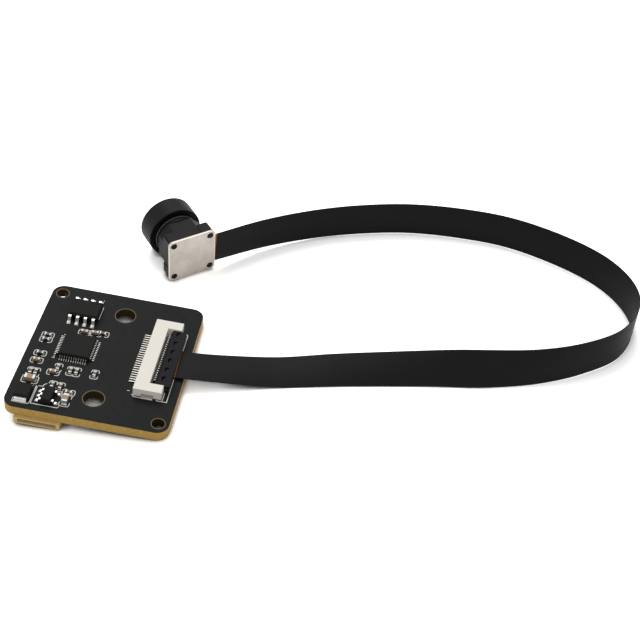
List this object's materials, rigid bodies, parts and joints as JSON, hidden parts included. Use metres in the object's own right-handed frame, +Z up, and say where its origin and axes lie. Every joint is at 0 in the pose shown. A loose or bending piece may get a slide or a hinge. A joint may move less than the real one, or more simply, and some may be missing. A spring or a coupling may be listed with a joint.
{
  "type": "camera module",
  "caption": "Camera module: an interface board with a flip-latch flex socket, a long flat ribbon in a loose loop, and a square camera head with a domed wide-angle lens.",
  "frame": {"origin": "on the surface that the module lies on, under the middle of the board and the camera head", "axes": "+X to the right across the board, towards the flex socket; +Y from the board towards the camera head; +Z up"},
  "size_m": [0.0956, 0.0592, 0.0097],
  "materials": {
    "board_mask": "matte black solder mask",
    "cream_plastic": "moulded cream plastic",
    "latch_plastic": "moulded black plastic",
    "tinned_contact": "tinned",
    "chip_epoxy": "moulded epoxy",
    "tinned_lead": "tinned",
    "capacitor_ceramic": "brown ceramic",
    "resistor_glaze": "black glaze",
    "ivory_plastic": "moulded ivory plastic",
    "amber_film": "amber film with a black cover",
    "ribbon_film": "matte black film",
    "steel_plate": "satin stainless steel",
    "sensor_glass": "polished sensor cover",
    "filter_glass": "clear, bluish",
    "holder_plastic": "matte black plastic",
    "barrel_black": "black anodised",
    "lens_glass": "clear",
    "ring_black": "satin black anodised"
  },
  "bodies": {
    "module": {"circuit_board": "board_mask", "flex_socket_housing": "cream_plastic", "flex_socket_contacts": "tinned_contact", "flex_socket_tabs": "tinned_contact", "memory_chip_body": "chip_epoxy", "memory_chip_leads": "tinned_lead", "controller_chip_body": "chip_epoxy", "controller_chip_leads": "tinned_lead", "regulator_body": "chip_epoxy", "regulator_leads": "tinned_lead", "diode_body": "chip_epoxy", "diode_terminals": "tinned_lead", "capacitor_bodies": "capacitor_ceramic", "resistor_bodies": "resistor_glaze", "chip_part_ends": "tinned_lead", "cable_socket_housing": "ivory_plastic", "cable_socket_pins": "tinned_contact", "cable_socket_tabs": "tinned_contact", "ribbon_tail": "amber_film", "ribbon": "ribbon_film", "head_back_plate": "steel_plate", "head_flex": "amber_film", "image_sensor": "sensor_glass", "filter_glass": "filter_glass", "lens_holder": "holder_plastic", "lens_barrel": "barrel_black", "lens_spacer": "barrel_black", "rear_lens_glass": "lens_glass", "front_lens_glass": "lens_glass", "lens_ring": "ring_black"},
    "latch": {"flex_socket_latch": "latch_plastic"}
  },
  "joints": [
    {"name": "latch_flip", "type": "hinge", "parent": "module", "child": "latch", "pos_m": [0.00911, -0.00984, 0.00284], "axis": [0, -1, 0], "range_deg": [0, 90]}
  ]
}
